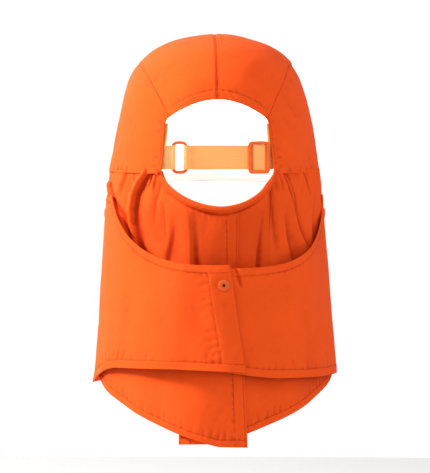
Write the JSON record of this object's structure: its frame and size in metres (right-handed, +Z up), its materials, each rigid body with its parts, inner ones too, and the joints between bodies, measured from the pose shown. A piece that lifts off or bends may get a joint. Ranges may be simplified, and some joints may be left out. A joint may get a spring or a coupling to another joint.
{
  "type": "sun cap with neck cape and face veil",
  "caption": "Cloth sun cap with a rear opening closed by a buckled strap, a split neck cape and a wrap-around face veil that snaps shut at the back.",
  "frame": {"origin": "middle of the head opening, in the plane of the crown's hem", "axes": "+Z up towards the top of the crown, +Y forward where the face looks, the rear opening and strap at -Y, +X to the wearer's right"},
  "size_m": [0.2147, 0.2843, 0.3565],
  "materials": {
    "orange_cloth": "matte woven",
    "lining_cloth": "matte woven",
    "sweatband_cloth": "matte woven",
    "webbing": "ribbed webbing",
    "webbing_light": "ribbed webbing",
    "buckle_plastic": "satin moulded",
    "brim_plastic": "plain",
    "snap_enamel": "semi-gloss enamel"
  },
  "bodies": {
    "cap": {"crown_top_left": "orange_cloth", "crown_top_right": "orange_cloth", "crown_side_left": "orange_cloth", "crown_side_right": "orange_cloth", "crown_front_panel": "orange_cloth", "crown_seam_tape": "orange_cloth", "arch_facing": "orange_cloth", "neckline_binding": "orange_cloth", "brim_cover_top": "orange_cloth", "brim_cover_bottom": "lining_cloth", "brim_edge_binding": "lining_cloth", "cape_panel_left": "orange_cloth", "cape_panel_right": "orange_cloth", "cape_placket_left": "orange_cloth", "cape_placket_right": "orange_cloth", "cape_hem_left": "orange_cloth", "cape_hem_right": "orange_cloth", "veil_front": "orange_cloth", "veil_front_top_binding": "orange_cloth", "veil_front_hem": "orange_cloth", "crown_lining": "lining_cloth", "sweatband": "sweatband_cloth", "brim_board": "brim_plastic", "strap_webbing": "webbing", "strap_front_run": "webbing", "strap_tab": "webbing_light", "strap_bartacks": "webbing", "strap_ring": "buckle_plastic", "side_snap_left": "snap_enamel", "side_snap_right": "snap_enamel"},
    "flap_left": {"veil_flap_left": "orange_cloth", "flap_left_top_binding": "orange_cloth", "flap_left_hem": "orange_cloth", "flap_left_placket": "orange_cloth", "snap_cap": "snap_enamel", "snap_socket": "snap_enamel"},
    "flap_right": {"veil_flap_right": "orange_cloth", "flap_right_top_binding": "orange_cloth", "flap_right_hem": "orange_cloth", "flap_right_placket": "orange_cloth", "snap_stud": "snap_enamel", "snap_post": "snap_enamel"},
    "slide_buckle": {"slider_frame": "buckle_plastic", "strap_bight": "webbing"}
  },
  "joints": [
    {"name": "flap_left_turn", "type": "hinge", "parent": "cap", "child": "flap_left", "pos_m": [-0.099, -0.014, -0.1], "axis": [0, 0, -1], "range_deg": [0, 80]},
    {"name": "flap_right_turn", "type": "hinge", "parent": "cap", "child": "flap_right", "pos_m": [0.099, -0.014, -0.1], "axis": [0, 0, 1], "range_deg": [0, 42]},
    {"name": "buckle_slide", "type": "slide", "parent": "cap", "child": "slide_buckle", "axis": [1, 0, 0], "range_m": [-0.04, 0], "deforming": ["strap_front_run"]}
  ],
  "couplings": [
    {"joint": "flap_right_turn", "follows": "flap_left_turn", "ratio": 0.5}
  ]
}
